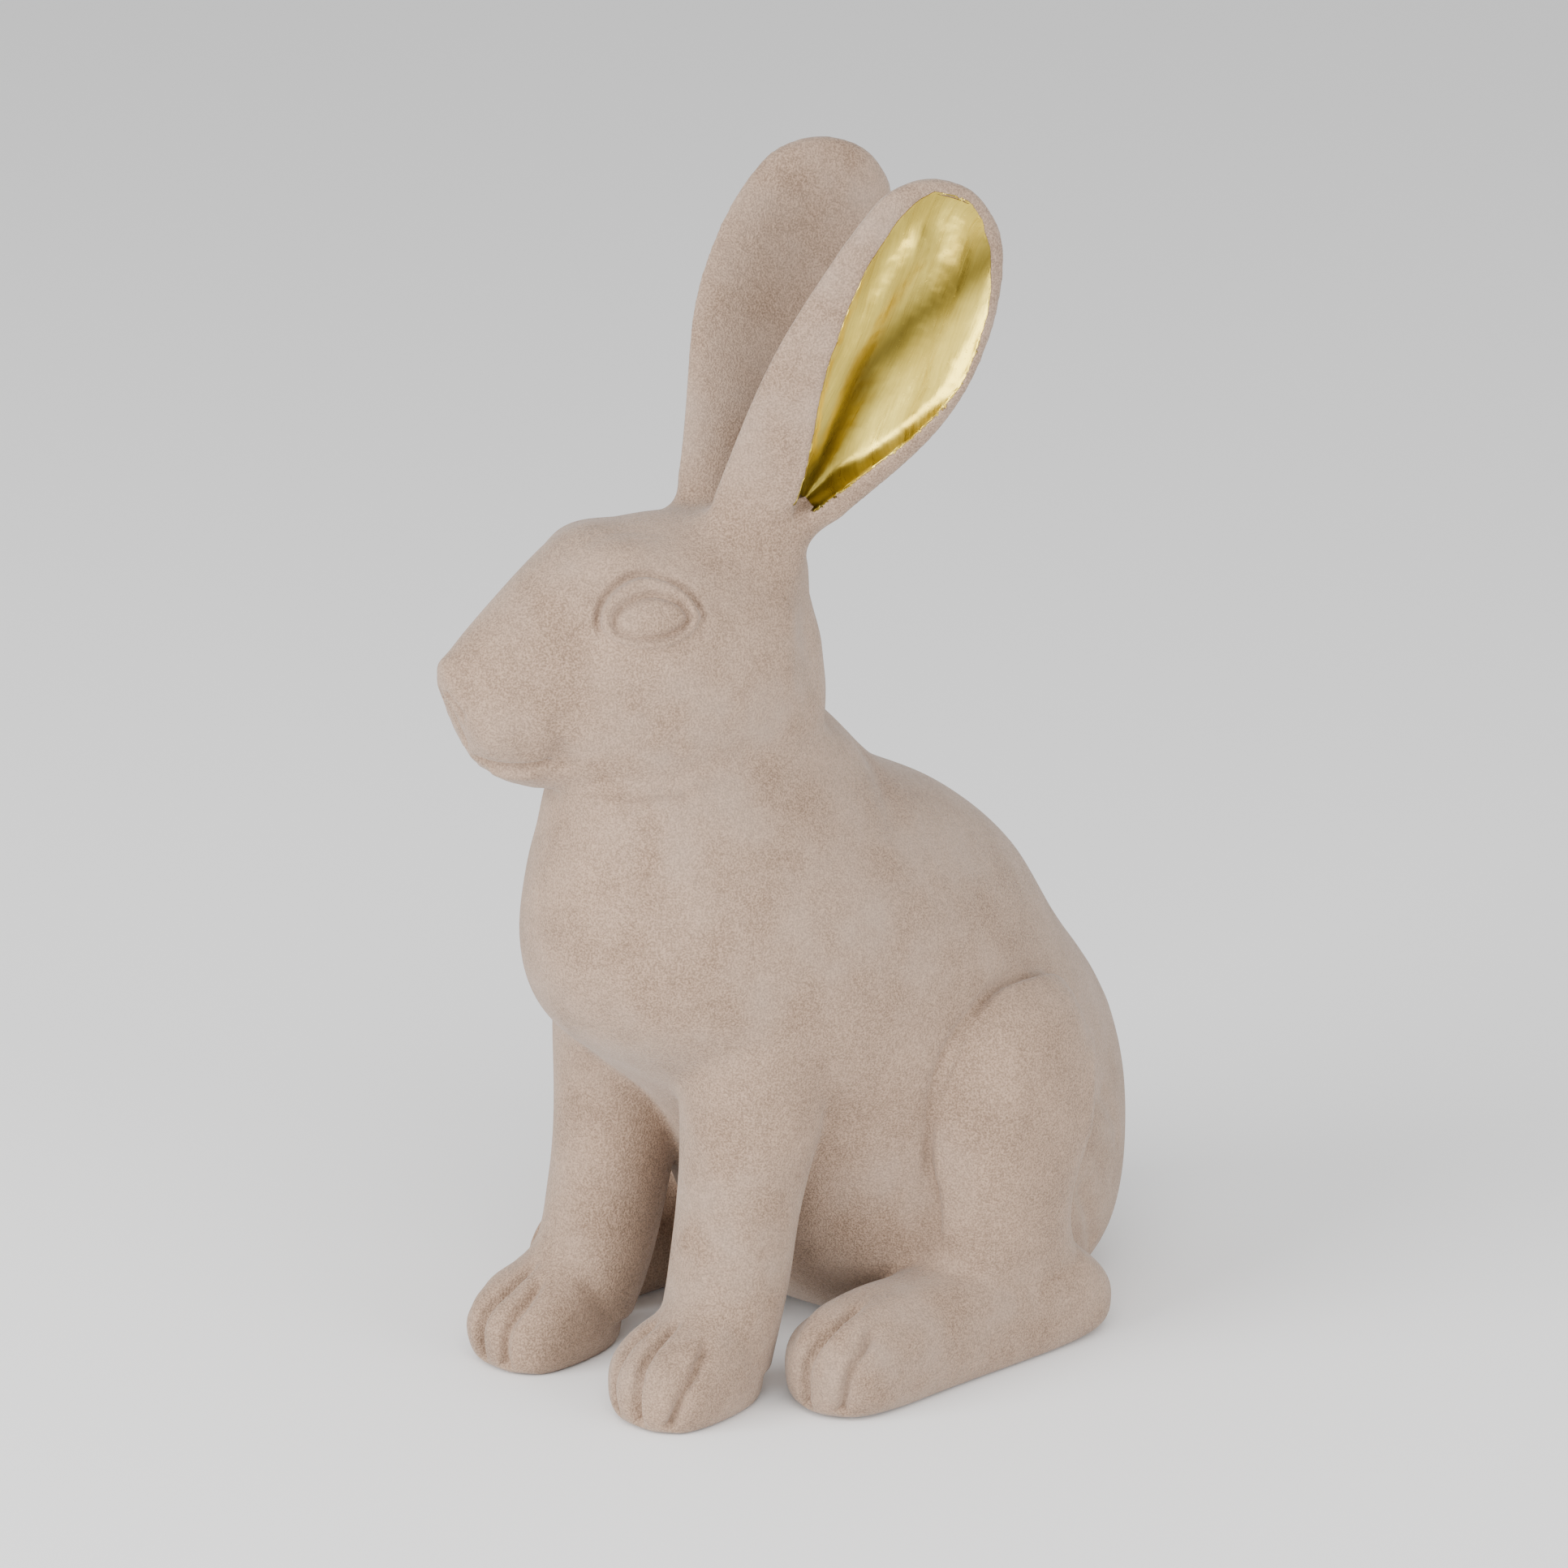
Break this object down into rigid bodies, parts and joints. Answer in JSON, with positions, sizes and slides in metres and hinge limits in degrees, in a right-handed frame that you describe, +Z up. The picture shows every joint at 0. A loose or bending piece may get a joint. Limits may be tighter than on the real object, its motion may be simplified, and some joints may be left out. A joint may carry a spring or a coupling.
{
  "type": "sitting hare figurine",
  "caption": "Sitting hare ornament with a velvety flocked coat, upright ears lined with gold leaf and the head turned aside.",
  "frame": {"origin": "on the floor, under the middle of the whole figure's box", "axes": "+Z up, the hare sits facing -Y and its left side is +X"},
  "size_m": [0.1254, 0.1974, 0.2881],
  "materials": {
    "flock_coat": "matte nylon flock on cast resin",
    "gold_leaf": "brushed imitation gold leaf",
    "pin_steel": "plain steel pin",
    "dowel_beech": "raw beech dowel",
    "pad_felt": "pressed felt",
    "plug_rubber": "soft moulded plug"
  },
  "bodies": {
    "root": {"torso_casting": "flock_coat", "head_casting": "flock_coat", "left_ear_casting": "flock_coat", "right_ear_casting": "flock_coat", "left_foreleg_casting": "flock_coat", "right_foreleg_casting": "flock_coat", "left_hind_leg_casting": "flock_coat", "right_hind_leg_casting": "flock_coat", "tail_casting": "flock_coat", "left_ear_gilding": "gold_leaf", "right_ear_gilding": "gold_leaf", "left_ear_pin": "pin_steel", "right_ear_pin": "pin_steel", "neck_dowel": "dowel_beech", "left_foreleg_dowel": "dowel_beech", "right_foreleg_dowel": "dowel_beech", "left_hind_leg_dowel": "dowel_beech", "right_hind_leg_dowel": "dowel_beech", "tail_peg": "dowel_beech", "left_fore_pad": "pad_felt", "left_hind_pad": "pad_felt", "right_fore_pad": "pad_felt", "right_hind_pad": "pad_felt", "vent_plug": "plug_rubber"}
  },
  "joints": []
}
